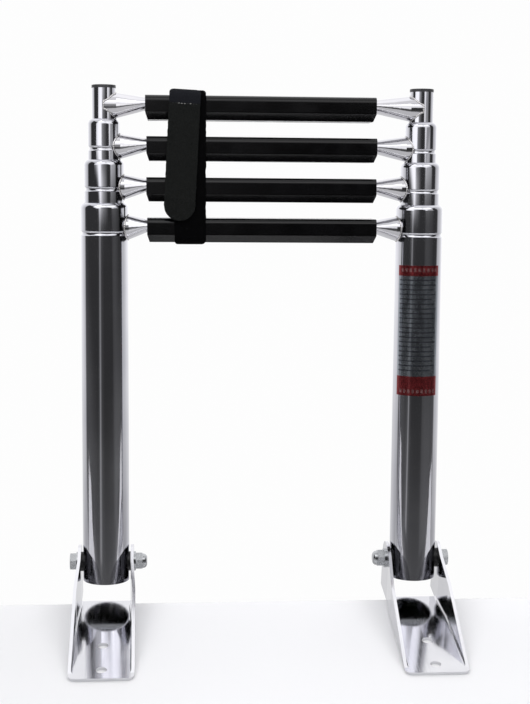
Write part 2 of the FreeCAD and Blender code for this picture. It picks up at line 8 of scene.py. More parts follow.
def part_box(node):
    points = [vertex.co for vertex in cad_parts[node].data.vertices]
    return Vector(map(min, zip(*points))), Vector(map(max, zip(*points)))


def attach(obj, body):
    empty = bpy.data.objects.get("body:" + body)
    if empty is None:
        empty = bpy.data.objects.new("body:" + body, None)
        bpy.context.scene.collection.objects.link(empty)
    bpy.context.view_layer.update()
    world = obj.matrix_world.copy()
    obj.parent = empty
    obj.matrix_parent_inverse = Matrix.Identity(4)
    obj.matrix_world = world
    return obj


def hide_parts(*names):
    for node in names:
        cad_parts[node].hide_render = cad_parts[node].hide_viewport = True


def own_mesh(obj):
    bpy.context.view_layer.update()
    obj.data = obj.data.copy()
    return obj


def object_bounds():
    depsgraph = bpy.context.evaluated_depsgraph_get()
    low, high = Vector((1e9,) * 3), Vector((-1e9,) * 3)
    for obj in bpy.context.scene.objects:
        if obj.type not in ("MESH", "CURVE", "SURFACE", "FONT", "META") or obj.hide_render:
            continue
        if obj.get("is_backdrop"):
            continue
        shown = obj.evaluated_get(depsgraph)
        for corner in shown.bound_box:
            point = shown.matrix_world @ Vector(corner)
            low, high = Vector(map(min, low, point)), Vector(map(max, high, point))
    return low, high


# A closed telescoping boarding ladder on the edge of a pale platform, in soft studio light.
# Lengths are metres. Ladder frame: x to the right, y away from the platform, z up along the tubes, and the
# origin on the pivot axis.

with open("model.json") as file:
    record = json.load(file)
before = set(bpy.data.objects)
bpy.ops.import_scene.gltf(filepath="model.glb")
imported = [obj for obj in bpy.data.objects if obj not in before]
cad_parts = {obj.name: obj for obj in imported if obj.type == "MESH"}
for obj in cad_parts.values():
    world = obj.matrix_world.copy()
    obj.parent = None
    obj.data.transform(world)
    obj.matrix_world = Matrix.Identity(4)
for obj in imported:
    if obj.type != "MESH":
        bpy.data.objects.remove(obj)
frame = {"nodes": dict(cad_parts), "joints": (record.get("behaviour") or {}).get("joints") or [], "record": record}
cad_low, cad_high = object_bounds()

MM = 0.001
NODES = frame["nodes"]
JOINTS = {joint["name"]: joint for joint in frame["joints"]}
PIVOT = Vector(JOINTS["platform_pivot"]["pos_m"])
ACROSS = Vector((1, 0, 0))
ALONG = Vector(JOINTS["first_slide"]["axis"])
BACK = ALONG.cross(ACROSS)
LEAN = math.atan2(ALONG.y, ALONG.z)
SIDES = (("left", -1), ("right", 1))
STAGES = ("main", "first", "second", "third")


def at(x, y, z):
    """A point given in the ladder frame."""
    return PIVOT + ACROSS * x + BACK * y + ALONG * z


def ladder_points(node):
    """A CAD node's vertices in the ladder frame."""
    offsets = [vertex.co - PIVOT for vertex in NODES[node].data.vertices]
    return [Vector((p.dot(ACROSS), p.dot(BACK), p.dot(ALONG))) for p in offsets]


def ladder_box(node):
    """A CAD node's lowest and highest corner in the ladder frame."""
    points = ladder_points(node)
    return [Vector([pick(p[axis] for p in points) for axis in range(3)]) for pick in (min, max)]


# ---------------------------------------------------------------- camera

CAMERA_PLACE = (-0.0840, -1.1311, 0.3110)  # in the ladder frame
CAMERA_TURNS = ((-4.37, "Z"), (-6.82, "X"), (-0.47, "Y"), (90.0, "X"))  # after the ladder's lean, in degrees
CAMERA_LENS = 70.8  # mm, on a 36 mm sensor

camera_data = bpy.data.cameras.new("camera")
camera_data.sensor_width = 36.0
camera_data.lens = CAMERA_LENS
camera = bpy.data.objects.new("camera", camera_data)
bpy.context.scene.collection.objects.link(camera)
turned = Matrix.Rotation(-LEAN, 4, "X")
for degrees, axis in CAMERA_TURNS:
    turned = turned @ Matrix.Rotation(math.radians(degrees), 4, axis)
camera.matrix_world = Matrix.Translation(at(*CAMERA_PLACE)) @ turned
bpy.context.scene.camera = camera
bpy.context.scene.view_settings.view_transform = "Standard"


# ---------------------------------------------------------------- materials

NOISE_RANGE = (0.3, 0.7)      # the part of a noise's range that it mostly keeps to
STREAK_RANGE = (0.12, 0.42)   # the same for two noises multiplied
SMUDGE_SCALE, WEAR_SCALE, FIBRE_SCALE = 22.0, 60.0, 1500.0
WRINKLE_SCALE, INK_SCALE = 240.0, 400.0
BUMP_DEPTH = 0.1 * MM
WEAVE_BUMP = 0.3 * MM
FILM_BUMP = 0.02 * MM


def material(name, **values):
    """A new material, its uniform values set on the shader's own sockets."""
    made = bpy.data.materials.new(name)
    made.use_nodes = True
    shader = made.node_tree.nodes["Principled BSDF"]
    for socket, value in values.items():
        shader.inputs[socket.replace("_", " ")].default_value = value
    return made, made.node_tree, shader


def add(tree, kind, sockets=None, **settings):
    """A shader node; each of its sockets gets a value or a link from another socket."""
    made = tree.nodes.new("ShaderNode" + kind)
    for name, value in settings.items():
        setattr(made, name, value)
    for name, value in (sockets or {}).items():
        if isinstance(value, bpy.types.NodeSocket):
            tree.links.new(value, made.inputs[name])
        else:
            made.inputs[name].default_value = value
    return made


def grain(tree, scale, stretch=(1, 1, 1), detail=3.0):
    """Noise from 0 to 1 on axes that lean with the ladder, stretched along them."""
    place = add(tree, "TexCoord").outputs["Object"]
    leaning = add(tree, "VectorRotate", {"Vector": place, "Angle": LEAN}, rotation_type="X_AXIS")
    mapped = add(tree, "Mapping", {"Vector": leaning.outputs["Vector"], "Scale": stretch})
    spots = add(tree, "TexNoise", {"Vector": mapped.outputs["Vector"], "Scale": scale, "Detail": detail})
    return spots.outputs["Fac"]


def spread(tree, value, source, target):
    """A value mapped from one range to another."""
    sockets = {"Value": value, "From Min": source[0], "From Max": source[1], "To Min": target[0],
               "To Max": target[1]}
    return add(tree, "MapRange", sockets).outputs["Result"]


def between(tree, factor, low, high):
    """The middle of a noise, spread from low to high."""
    return spread(tree, factor, NOISE_RANGE, (low, high))


def blended(tree, factor, first, second):
    """A colour that goes from the first to the second with a factor."""
    sockets = {"Fac": factor, "Color1": (*first, 1), "Color2": (*second, 1)}
    return add(tree, "MixRGB", sockets).outputs["Color"]


def roughen(tree, shader, height, strength, distance):
    """Fine relief on a shader's surface."""
    bump = add(tree, "Bump", {"Height": height, "Strength": strength, "Distance": distance})
    tree.links.new(bump.outputs["Normal"], shader.inputs["Normal"])


def steel(name, first, second, rough, streaks, bump):
    """Polished or brushed steel: streaks in one direction, faint smudges, and a slight variation in tone."""
    made, tree, shader = material(name, Metallic=1.0)
    fine = grain(tree, 1.0, streaks, detail=4.0)
    smudge = grain(tree, SMUDGE_SCALE)
    tone = add(tree, "Math", {0: fine, 1: smudge}, operation="MULTIPLY").outputs["Value"]
    tree.links.new(blended(tree, between(tree, smudge, 0.0, 1.0), first, second), shader.inputs["Base Color"])
    tree.links.new(spread(tree, tone, STREAK_RANGE, rough), shader.inputs["Roughness"])
    roughen(tree, shader, fine, bump, BUMP_DEPTH)
    return made


def plastic(name, dark, light, rough, texture, stretch, bump, **values):
    """Moulded plastic: a fine texture, with worn, slightly shinier patches."""
    made, tree, shader = material(name, **values)
    fine = grain(tree, texture, stretch, detail=5.0)
    wear = grain(tree, WEAR_SCALE, detail=6.0)
    tree.links.new(blended(tree, between(tree, wear, 0.0, 1.0), dark, light), shader.inputs["Base Color"])
    tree.links.new(between(tree, wear, *rough), shader.inputs["Roughness"])
    roughen(tree, shader, fine, bump, BUMP_DEPTH)
    return made


def cloth(name, dark, light, weave, bump, **values):
    """Webbing: a fine weave under a scatter of fibres."""
    made, tree, shader = material(name, **values)
    threads = add(tree, "TexVoronoi", {"Scale": weave}).outputs["Distance"]
    fibres = grain(tree, FIBRE_SCALE, detail=4.0)
    both = add(tree, "Math", {0: threads, 1: fibres}, operation="ADD").outputs["Value"]
    tree.links.new(blended(tree, between(tree, fibres, 0.0, 1.0), dark, light), shader.inputs["Base Color"])
    roughen(tree, shader, both, bump, WEAVE_BUMP)
    return made


def film_material():
    """Glossy film on the polished tube, made as darker, tinted steel under a coat."""
    made, tree, shader = material("label_film", Metallic=1.0, Coat_Weight=0.6, Coat_Roughness=0.08)
    wrinkle = grain(tree, WRINKLE_SCALE, (1, 1, 0.3))
    tree.links.new(
        blended(tree, between(tree, wrinkle, 0.0, 1.0), (0.32, 0.35, 0.39), (0.44, 0.47, 0.51)),
        shader.inputs["Base Color"],
    )
    tree.links.new(between(tree, wrinkle, 0.17, 0.25), shader.inputs["Roughness"])
    roughen(tree, shader, wrinkle, 0.02, FILM_BUMP)
    return made


def print_material(name, dark, light, metallic):
    """Printing on the label's film."""
    made, tree, shader = material(name, Metallic=metallic, Coat_Weight=0.5, Coat_Roughness=0.08)
    patch = grain(tree, INK_SCALE)
    tree.links.new(blended(tree, between(tree, patch, 0.0, 1.0), dark, light), shader.inputs["Base Color"])
    tree.links.new(between(tree, patch, 0.16, 0.26), shader.inputs["Roughness"])
    return made


TUBE_STREAKS = (700.0, 700.0, 6.0)
RUNG_STREAKS = (8.0, 600.0, 600.0)
PLATE_STREAKS = (900.0, 30.0, 30.0)
BOLT_STREAKS = (500.0, 90.0, 500.0)
WELD_STREAKS = (300.0, 300.0, 300.0)
RIBS = (20.0, 1400.0, 1400.0)
EVEN = (1, 1, 1)
LOOKS = {
    "tube": steel("tube_steel", (0.56, 0.56, 0.60), (0.64, 0.64, 0.675), (0.05, 0.13), TUBE_STREAKS, 0.05),
    "rung": steel("rung_steel", (0.58, 0.58, 0.61), (0.66, 0.65, 0.67), (0.05, 0.14), RUNG_STREAKS, 0.06),
    "plate": steel("plate_steel", (0.60, 0.60, 0.63), (0.68, 0.68, 0.70), (0.05, 0.16), PLATE_STREAKS, 0.05),
    "bolt": steel("bolt_steel", (0.36, 0.37, 0.38), (0.46, 0.47, 0.48), (0.18, 0.34), BOLT_STREAKS, 0.10),
    "weld": steel("weld_steel", (0.60, 0.58, 0.57), (0.72, 0.71, 0.71), (0.12, 0.30), WELD_STREAKS, 0.15),
    "tread": plastic(
        "tread_plastic", (0.0010, 0.0010, 0.0012), (0.0020, 0.0020, 0.0024), (0.15, 0.24), 1.0, RIBS, 0.12,
        Specular_IOR_Level=0.35,
    ),
    "cap": plastic(
        "cap_plastic", (0.028, 0.028, 0.030), (0.045, 0.045, 0.048), (0.38, 0.52), 1300.0, EVEN, 0.3,
        Specular_IOR_Level=0.4,
    ),
    "nylon": plastic(
        "black_nylon", (0.010, 0.010, 0.011), (0.018, 0.018, 0.019), (0.32, 0.5), 900.0, EVEN, 0.2,
    ),
    "film": film_material(),
}
SLOT_LOOKS = {
    "bolt_stainless": "bolt",
    "tread_plastic": "tread",
    "cap_plastic": "cap",
    "black_nylon": "nylon",
    "label_film": "film",
}


def look_of(node, slot):
    """The name of a CAD node's look; none for the strap, which gets new pieces."""
    if slot == "polished_stainless":
        return "rung" if node.endswith("_rung") else "tube" if node.endswith("_tube") else "plate"
    return SLOT_LOOKS.get(slot)


for part in frame["record"]["subparts"]:
    chosen = look_of(part["node"], part["material_slot"])
    if chosen:
        mesh = NODES[part["node"]].data
        mesh.materials.clear()
        mesh.materials.append(LOOKS[chosen])


# ---------------------------------------------------------------- mesh making


def piece(name, points, faces, look, body, slot, smooth=True):
    """A new piece of the object, in the row frame, riding on a body."""
    mesh = bpy.data.meshes.new(name)
    mesh.from_pydata([tuple(p) for p in points], [], faces)
    mesh.validate()
    mesh.update()
    mesh.polygons.foreach_set("use_smooth", [smooth] * len(mesh.polygons))
    mesh.materials.append(look)
    made = bpy.data.objects.new(name, mesh)
    bpy.context.scene.collection.objects.link(made)
    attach(made, body)
    return made


def joined(parts):
    """Several (points, faces) as one."""
    points, faces = [], []
    for part_points, part_faces in parts:
        start = len(points)
        points += part_points
        faces += [tuple(start + index for index in face) for face in part_faces]
    return points, faces


def skin(rings, closed):
    """Faces over a row of rings of equal length; an open row gets a face on each end."""
    count = len(rings[0])
    points = [p for ring in rings for p in ring]
    faces = []
    for row in range(len(rings) if closed else len(rings) - 1):
        here, there = row * count, (row + 1) % len(rings) * count
        for k in range(count):
            after = (k + 1) % count
            faces.append((here + k, here + after, there + after, there + k))
    if not closed:
        faces.append(tuple(reversed(range(count))))
        faces.append(tuple(range(len(points) - count, len(points))))
    return points, faces


def smoothly(low, high, value):
    """0 below low, 1 above high, and an even curve between them."""
    share = min(max((value - low) / (high - low), 0.0), 1.0)
    return share * share * (3 - 2 * share)


def window(value, low, high, soft):
    """1 between low and high, 0 outside, with soft edges."""
    return smoothly(low - soft, low + soft, value) * (1 - smoothly(high - soft, high + soft, value))


# ---------------------------------------------------------------- weld beads

BEAD_RADIUS = 0.75 * MM
BEAD_RIPPLE, RIPPLE_PITCH = 0.10, 1.3 * MM
BEAD_UNEVEN, UNEVEN_SCALE = 0.15, 300
BEAD_STEPS, BEAD_SIDES = 220, 8


def tube_axis_x(side_name):
    """Where a side's tubes stand, across the ladder."""
    low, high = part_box(side_name + "_third_tube")
    return (low.x + high.x) / 2


def rung_round(stage):
    """Height of a rung's axis and the radius of its round ends."""
    low, high = ladder_box(stage + "_rung")
    return (low.z + high.z) / 2, (high.z - low.z) / 2


def tube_radius(side_name, stage):
    """The outer radius of a side tube."""
    low, high = ladder_box(f"{side_name}_{stage}_tube")
    return (high.x - low.x) / 2


def weld(side_name, side, stage):
    """A rippled bead along the line where a rung's end meets its side tube."""
    height, round_radius = rung_round(stage)
    radius = tube_radius(side_name, stage)
    centre_x = tube_axis_x(side_name)

    def line(turn):
        """A point of that line; turn goes once round the rung's end."""
        y, z = round_radius * math.cos(turn), round_radius * math.sin(turn)
        return Vector((centre_x - side * math.sqrt(max(radius**2 - y**2, 0.0)), y, height + z))

    rings, travelled = [], 0.0
    for step in range(BEAD_STEPS):
        turn = 2 * math.pi * step / BEAD_STEPS
        here = line(turn)
        ahead = line(turn + math.pi / BEAD_STEPS) - line(turn - math.pi / BEAD_STEPS)
        travelled += ahead.length
        outward = Vector((0, math.cos(turn), math.sin(turn)))
        along = ahead.normalized()
        outward = (outward - along * outward.dot(along)).normalized()
        sideways = along.cross(outward)
        ripple = 1 + BEAD_RIPPLE * math.sin(2 * math.pi * travelled / RIPPLE_PITCH)
        size = BEAD_RADIUS * ripple * (1 + BEAD_UNEVEN * noise.noise(here * UNEVEN_SCALE))
        ring = []
        for k in range(BEAD_SIDES):
            angle = 2 * math.pi * k / BEAD_SIDES
            ring.append(at(*(here + (outward * math.cos(angle) + sideways * math.sin(angle)) * size)))
        rings.append(ring)
    points, faces = skin(rings, closed=True)
    piece(f"{side_name}_{stage}_weld", points, faces, LOOKS["weld"], f"{stage}_section", "polished_stainless")


for side_name, side in SIDES:
    for stage in STAGES:
        weld(side_name, side, stage)


# ---------------------------------------------------------------- label

PRINT_THICKNESS = 0.05 * MM
PATCH_STEP = math.radians(3)
TOP_BAND, LOW_BAND = 8.5 * MM, 16.0 * MM
BAR_HEIGHT, BAR_PITCH = 1.0 * MM, 3.9 * MM
BAR_MARGIN = math.radians(5)
BAR_LENGTHS = (0.94, 0.97, 0.90, 0.96, 0.84)
RED = print_material("label_red", (0.22, 0.026, 0.030), (0.30, 0.038, 0.042), 0.85)
GREY = print_material("label_grey", (0.06, 0.07, 0.09), (0.12, 0.13, 0.16), 0.85)
PALE = print_material("label_pale", (0.36, 0.16, 0.16), (0.48, 0.24, 0.24), 0.85)
DASH_HEIGHT, DASH_DROP = 3.0 * MM, 2.2 * MM
DASH_TURN, DASH_PITCH = math.radians(6), math.radians(11)


def patch_on_tube(centre_x, radius, low, high, start, end):
    """A thin closed patch wrapped round a side tube."""
    steps = max(2, math.ceil((end - start) / PATCH_STEP))
    rings = []
    for step in range(steps + 1):
        angle = start + (end - start) * step / steps
        x, y = math.cos(angle), math.sin(angle)
        rings.append([
            at(centre_x + x * r, y * r, z)
            for r, z in ((radius, low), (radius + PRINT_THICKNESS, low), (radius + PRINT_THICKNESS, high),
                         (radius, high))
        ])
    return skin(rings, closed=False)


def label_print():
    """Two bands with a row of dashes each, and rows of bars between them, on the label's film."""
    centre_x = tube_axis_x("right")
    points = ladder_points("label_film")
    radius = max(math.hypot(p.x - centre_x, p.y) for p in points)
    angles = [math.atan2(p.y, p.x - centre_x) for p in points]
    low, high = min(p.z for p in points), max(p.z for p in points)
    start, end = min(angles), max(angles)
    bands = [
        patch_on_tube(centre_x, radius, high - TOP_BAND, high, start, end),
        patch_on_tube(centre_x, radius, low, low + LOW_BAND, start, end),
    ]
    piece("label_bands", *joined(bands), RED, "main_section", "label_film", smooth=False)
    dashes, turn = [], start + DASH_PITCH
    while turn + DASH_PITCH < end:
        for base in (high - DASH_DROP - DASH_HEIGHT, low + DASH_DROP):
            dashes.append(patch_on_tube(
                centre_x, radius + PRINT_THICKNESS, base, base + DASH_HEIGHT, turn, turn + DASH_TURN
            ))
        turn += DASH_PITCH
    piece("label_dashes", *joined(dashes), PALE, "main_section", "label_film", smooth=False)
    bars = []
    height, row = high - TOP_BAND - BAR_PITCH, 0
    while height > low + LOW_BAND + BAR_PITCH - BAR_HEIGHT:
        span = (end - start - 2 * BAR_MARGIN) * BAR_LENGTHS[row % len(BAR_LENGTHS)]
        bars.append(patch_on_tube(
            centre_x, radius, height, height + BAR_HEIGHT, start + BAR_MARGIN, start + BAR_MARGIN + span
        ))
        height, row = height - BAR_PITCH, row + 1
    piece("label_bars", *joined(bars), GREY, "main_section", "label_film", smooth=False)


label_print()


# ---------------------------------------------------------------- strap

WEB_STEP = 0.6 * MM
WEB_THICKNESS = 1.1 * MM
WEB_EDGE_TURNS = (30, 60, 90, 120, 150)   # degrees round the webbing's rounded edge
WEB_FLAT_LEAST = 0.02 * MM
LOOP_COLUMNS, TAB_COLUMNS = 40, 48
LOOP_CORNER = 5.9 * MM
LOOP_ROUND = 2.6 * MM         # rounding of the loop's outline where it turns
WAVE, DRIFT_SCALE, EDGE_SCALE = 0.35 * MM, 160, 240
WEAVE_DEPTH, WEAVE_SCALE = 0.06 * MM, 900
PILE, PILE_FADE = 0.22 * MM, 1.0 * MM
PILE_NOISES = ((700, 1.0), (1700, 0.6))   # scale and share
TAB_RAGGED, RAGGED_SCALE = 0.02, 500
TAB_CORNER = 3.5 * MM
TAB_TOP = 2.0 * MM            # the tab's top edge is what lies this close to its highest point
TAB_OVER = math.radians(62)   # how far the tab's top is bent over the loop's corner
TAB_LIFT, LIFT_START = 0.9 * MM, 0.75     # how far the tip stands off, and from what share of the length
TAB_GAP = 0.3 * MM
TIP_WIDTH = 0.3 * MM
TOP_MARGIN, TIP_MARGIN = 0.05 * MM, 0.02 * MM
STITCH_DROP, STITCH_MARGIN = 9.5 * MM, 2.0 * MM
STITCH_LENGTH, STITCH_PITCH, STITCH_RADIUS = 1.5 * MM, 2.3 * MM, 0.27 * MM
STITCH_LEAN, STITCH_SINK, STITCH_END = 0.5 * MM, 0.25, 0.02
STITCH_STEPS, STITCH_SIDES = 8, 6
STITCH_NOISE = (3.1, 5.7, 0.5)            # the step from stitch to stitch in the noise, and where it runs
PALE_STITCHES = (2, 3, 4, 6)
STRAP_THICKNESS = ladder_box("strap_tab")[1].y - ladder_box("strap_tab")[0].y
INSET = STRAP_THICKNESS - WEB_THICKNESS
WEB = cloth(
    "strap_webbing", (0.0010, 0.0010, 0.0012), (0.0022, 0.0022, 0.0024), 1300.0, 0.5,
    Roughness=0.9, Specular_IOR_Level=0.03,
)
FUZZ = cloth(
    "strap_pile", (0.0060, 0.0065, 0.0062), (0.0165, 0.0175, 0.0170), 1800.0, 0.8,
    Roughness=0.95, Specular_IOR_Level=0.05,
)
# The tab's smooth webbing above the stitches: the loop's webbing painted lighter and bluish, a painted sheen.
WEB_PAINTED_SHEEN = cloth(
    "strap_web_painted_sheen", (0.0050, 0.0055, 0.0075), (0.0120, 0.0130, 0.0165), 900.0, 0.5,
    Roughness=0.8, Specular_IOR_Level=0.1,
)
PALE_STITCH_LOOK = cloth(
    "strap_pale_stitch", (0.16, 0.16, 0.155), (0.42, 0.42, 0.41), 3000.0, 0.4,
    Roughness=0.7, Specular_IOR_Level=0.3,
)
DARK_STITCH_LOOK = cloth(
    "strap_dark_stitch", (0.004, 0.004, 0.005), (0.020, 0.020, 0.021), 3000.0, 0.4,
    Roughness=0.7, Specular_IOR_Level=0.3,
)


def web_section(half_width, half_thickness, columns):
    """A webbing's section as (sideways, outward) points: outer face, edge, inner face, edge."""
    flat = max(half_width - half_thickness, WEB_FLAT_LEAST)
    steps = [2 * k / columns - 1 for k in range(columns + 1)]
    turns = [math.radians(a) for a in WEB_EDGE_TURNS]
    outer = [(flat * s, half_thickness) for s in steps]
    right = [(flat + half_thickness * math.sin(a), half_thickness * math.cos(a)) for a in turns]
    inner = [(-w, -t) for w, t in outer]
    left = [(-w, -t) for w, t in right]
    return outer + right + inner + left


def arc_steps(radius, turn):
    """Stations needed round a bend."""
    return max(2, math.ceil(radius * turn / WEB_STEP))


def loop_path(half_depth, low, high):
    """Stations (y, z, outward y, outward z) round the strap loop, up the front and down the back."""
    stations = []
    corner = LOOP_CORNER
    spots = [(-half_depth + corner, high - corner, 180), (half_depth - corner, high - corner, 90),
             (half_depth - corner, low + corner, 0), (-half_depth + corner, low + corner, -90)]
    for index, (y, z, start) in enumerate(spots):
        count = arc_steps(corner, math.pi / 2)
        for k in range(count):
            angle = math.radians(start - 90 * k / count)
            out = (math.cos(angle), math.sin(angle))
            stations.append((y + corner * out[0], z + corner * out[1], *out))
        following = spots[(index + 1) % len(spots)]
        angle = math.radians(start - 90)
        out = (math.cos(angle), math.sin(angle))
        first = (y + corner * out[0], z + corner * out[1])
        last = (following[0] + corner * out[0], following[1] + corner * out[1])
        length = math.dist(first, last)
        count = math.ceil(length / WEB_STEP)
        for k in range(count):
            share = k / count
            stations.append((
                first[0] + (last[0] - first[0]) * share, first[1] + (last[1] - first[1]) * share, *out
            ))
    return stations


def crumple(made):
    """The strap is undone in real use; here the piece only gets a mesh of its own."""
    middle = ladder_box("strap_loop")
    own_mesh(made)


def strap_loop():
    """The webbing that runs round all four treads."""
    low, high = ladder_box("strap_loop")
    centre_x, half_width = (low.x + high.x) / 2, (high.x - low.x) / 2
    section = web_section(half_width, WEB_THICKNESS / 2, LOOP_COLUMNS)
    inward = INSET + WEB_THICKNESS / 2
    rings = []
    for y, z, out_y, out_z in loop_path(high.y - inward, low.z + inward, high.z - inward):
        drift = WAVE * noise.noise(Vector((y, z, 0)) * DRIFT_SCALE)
        past = max(low.z + inward + LOOP_ROUND - z, z - high.z + inward + LOOP_ROUND, 0.0)
        pinch = 1 - (LOOP_ROUND - math.sqrt(max(LOOP_ROUND**2 - past**2, 0.0))) / half_width
        ring = []
        for w, t in section:
            edge = WAVE * noise.noise(Vector((y, z, math.copysign(1, w))) * EDGE_SCALE) * abs(w) / half_width
            weave = WEAVE_DEPTH * noise.noise(Vector((w, y, z)) * WEAVE_SCALE)
            sideways = w * pinch + drift + edge
            outward = t + (weave if t > 0 else 0.0)
            ring.append(at(centre_x + sideways, y + out_y * outward, z + out_z * outward))
        rings.append(ring)
    points, faces = skin(rings, closed=True)
    made = piece("strap_loop_webbing", points, faces, WEB, "main_section", "strap_fabric")
    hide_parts("strap_loop")
    crumple(made)


def tab_frame():
    """The tab's top middle, its tilt, its length and its half width, from its CAD solid."""
    points = ladder_points("strap_tab")
    top_z = max(p.z for p in points)
    corners = [p for p in points if p.z > top_z - TAB_TOP]
    top = sum(corners, Vector()) / len(corners)
    middle = sum(points, Vector()) / len(points)
    down = (middle - top).normalized()
    tilt = math.atan2(down.x, -down.z)
    length = max((p - top).dot(down) for p in points)
    half_width = max(abs((p - top).dot(Vector((-down.z, 0, down.x)))) for p in points)
    return top, tilt, length, half_width


def strap_tab():
    """The folded-over end, hanging at a tilt from the loop's front corner, with pile below its stitches."""
    top, tilt, length, half_width = tab_frame()
    loop_low, loop_high = ladder_box("strap_loop")
    half_thickness = WEB_THICKNESS / 2
    bend_z = loop_high.z - INSET - LOOP_CORNER - half_thickness
    radius = loop_high.z - INSET - bend_z + half_thickness + TAB_GAP
    front_y = loop_low.y + INSET - TAB_GAP - half_thickness
    over = radius * TAB_OVER
    straight = length - (top.z - bend_z)
    total = over + straight
    side = Vector((math.cos(tilt), 0, math.sin(tilt)))
    down = Vector((math.sin(tilt), 0, -math.cos(tilt)))

    def station(run):
        """Centre, outward and half width at a distance from the top end."""
        past = run - over
        if past < 0:
            angle = -past / radius
            centre = Vector((0, front_y + radius * (1 - math.cos(angle)), bend_z + radius * math.sin(angle)))
            centre.x = top.x - math.sin(tilt) * (centre.z - top.z)
            outward = Vector((0, -math.cos(angle), math.sin(angle)))
        else:
            lift = TAB_LIFT * smoothly(LIFT_START * straight, straight, past)
            start = Vector((top.x - math.sin(tilt) * (bend_z - top.z), front_y - lift, bend_z))
            centre, outward = start + down * past, Vector((0, -1, 0))
        width = half_width
        if run < TAB_CORNER:
            width -= TAB_CORNER - math.sqrt(TAB_CORNER**2 - (TAB_CORNER - run) ** 2)
        left = total - run
        if left < half_width:
            width = math.sqrt(max(half_width**2 - (half_width - left) ** 2, TIP_WIDTH**2))
        return centre, outward, width

    seam = over + STITCH_DROP - (top.z - bend_z)
    rows = math.ceil(total / WEB_STEP)
    rings = []
    for row in range(rows + 1):
        run = total * row / rows
        fuzzy = PILE * smoothly(seam, seam + PILE_FADE, run)
        centre, outward, width = station(min(max(run, TOP_MARGIN), total - TIP_MARGIN))
        ring = []
        for w, t in web_section(width, half_thickness, TAB_COLUMNS):
            spot = centre + side * w
            tufts = sum(share * noise.noise(spot * scale) for scale, share in PILE_NOISES)
            pile = fuzzy * tufts if t > 0 else 0.0
            ragged = 1 + TAB_RAGGED * noise.noise(spot * RAGGED_SCALE)
            ring.append(at(*(centre + side * w * ragged + outward * (t + pile))))
        rings.append(ring)
    points, faces = skin(rings, closed=False)
    made = piece("strap_tab_pile", points, faces, FUZZ, "main_section", "strap_fabric")
    # Above the stitches the tab takes the webbing with the painted sheen.
    made.data.materials.append(WEB_PAINTED_SHEEN)
    around = len(rings[0])
    for face in made.data.polygons:
        face.material_index = int(max(face.vertices) < around * (rows * seam / total))
    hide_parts("strap_tab")
    crumple(made)

    centre, outward, _ = station(seam)
    crumple(stitching(centre, outward, side, down, half_width))


def stitching(seam_centre, outward, side, down, half_width):
    """A row of stitches across the tab, a few of them pale and the rest dark."""
    count = int((2 * half_width - 2 * STITCH_MARGIN) / STITCH_PITCH)
    stitches = []
    for index in range(count):
        start = (index - (count - 1) / 2) * STITCH_PITCH - STITCH_LENGTH / 2
        lean = STITCH_LEAN * noise.noise(Vector((index * STITCH_NOISE[0], *STITCH_NOISE[1:])))
        rings = []
        for step in range(STITCH_STEPS + 1):
            share = step / STITCH_STEPS
            ends = (2 * share - 1) ** 4
            size = STITCH_RADIUS * math.sqrt(max(1 - ends, STITCH_END))
            sink = WEB_THICKNESS / 2 * (1 - STITCH_SINK * ends)
            across = start + STITCH_LENGTH * share
            middle = seam_centre + side * across + down * (lean * share) + outward * sink
            rings.append([
                at(*(middle + (down * math.cos(a) + outward * math.sin(a)) * size))
                for a in (2 * math.pi * k / STITCH_SIDES for k in range(STITCH_SIDES))
            ])
        stitches.append(skin(rings, closed=False))
    made = piece("strap_stitching", *joined(stitches), DARK_STITCH_LOOK, "main_section", "strap_fabric")
    made.data.materials.append(PALE_STITCH_LOOK)
    for face in made.data.polygons:
        face.material_index = int(face.index * count // len(made.data.polygons) in PALE_STITCHES)
    return made


strap_loop()
strap_tab()


# ---------------------------------------------------------------- stage

EDGE_GAP = 9.0 * MM           # the platform ends this far in front of the pivot axis
FLOOR_SIDE, FLOOR_NEAR, FLOOR_FAR = 0.62, 0.05, 0.60
FLOOR_DEPTH = 0.03
FLOOR_COLOURS, FLOOR_SCALE = ((0.84, 0.84, 0.85), (0.88, 0.88, 0.89)), 3.0
BACKDROP_COLOUR = (0.985, 0.985, 0.985, 1.0)
LAMP_COLOUR = (0.985, 0.985, 1.0, 1.0)

# The studio is a dome of white paper round a dark room on the camera's side. Angles are in degrees: azimuth 0
# is the camera's side and 90 the right, and elevation 0 is level. A pair of angles is where a change starts
# and ends.
STUDIO_RADIUS = 4.0
DOME_STEP = 2
FRONT, FRONT_SOFT = (-105, 94), 5
ROOM_GLOW, ROOM_FLOOR_GLOW, ROOM_FLOOR = 0.045, 0.07, (-10, 2)
LOW_GLOW, LOW_EDGE = 0.72, (-15, -9)
LOW_DROP, LOW_DROP_EDGE = 5, (55, 75)         # the low edge is this much lower at the sides
HIGH_GLOW, HIGH_EDGE = 1.00, (38, 46)
SEAM, SEAM_SOFT, SEAM_END = (6, 23), 3, (60, 80)  # a dimmer strip of the ceiling
SEAM_DIM = 0.5
BEHIND_GLOW, BEHIND_MORE, BEHIND_EDGE = 0.70, 0.55, (95, 150)
BEHIND_LOW_DIM, BEHIND_LOW = 0.35, (-24, -10)
BEHIND_HIGH_MORE = 0.20

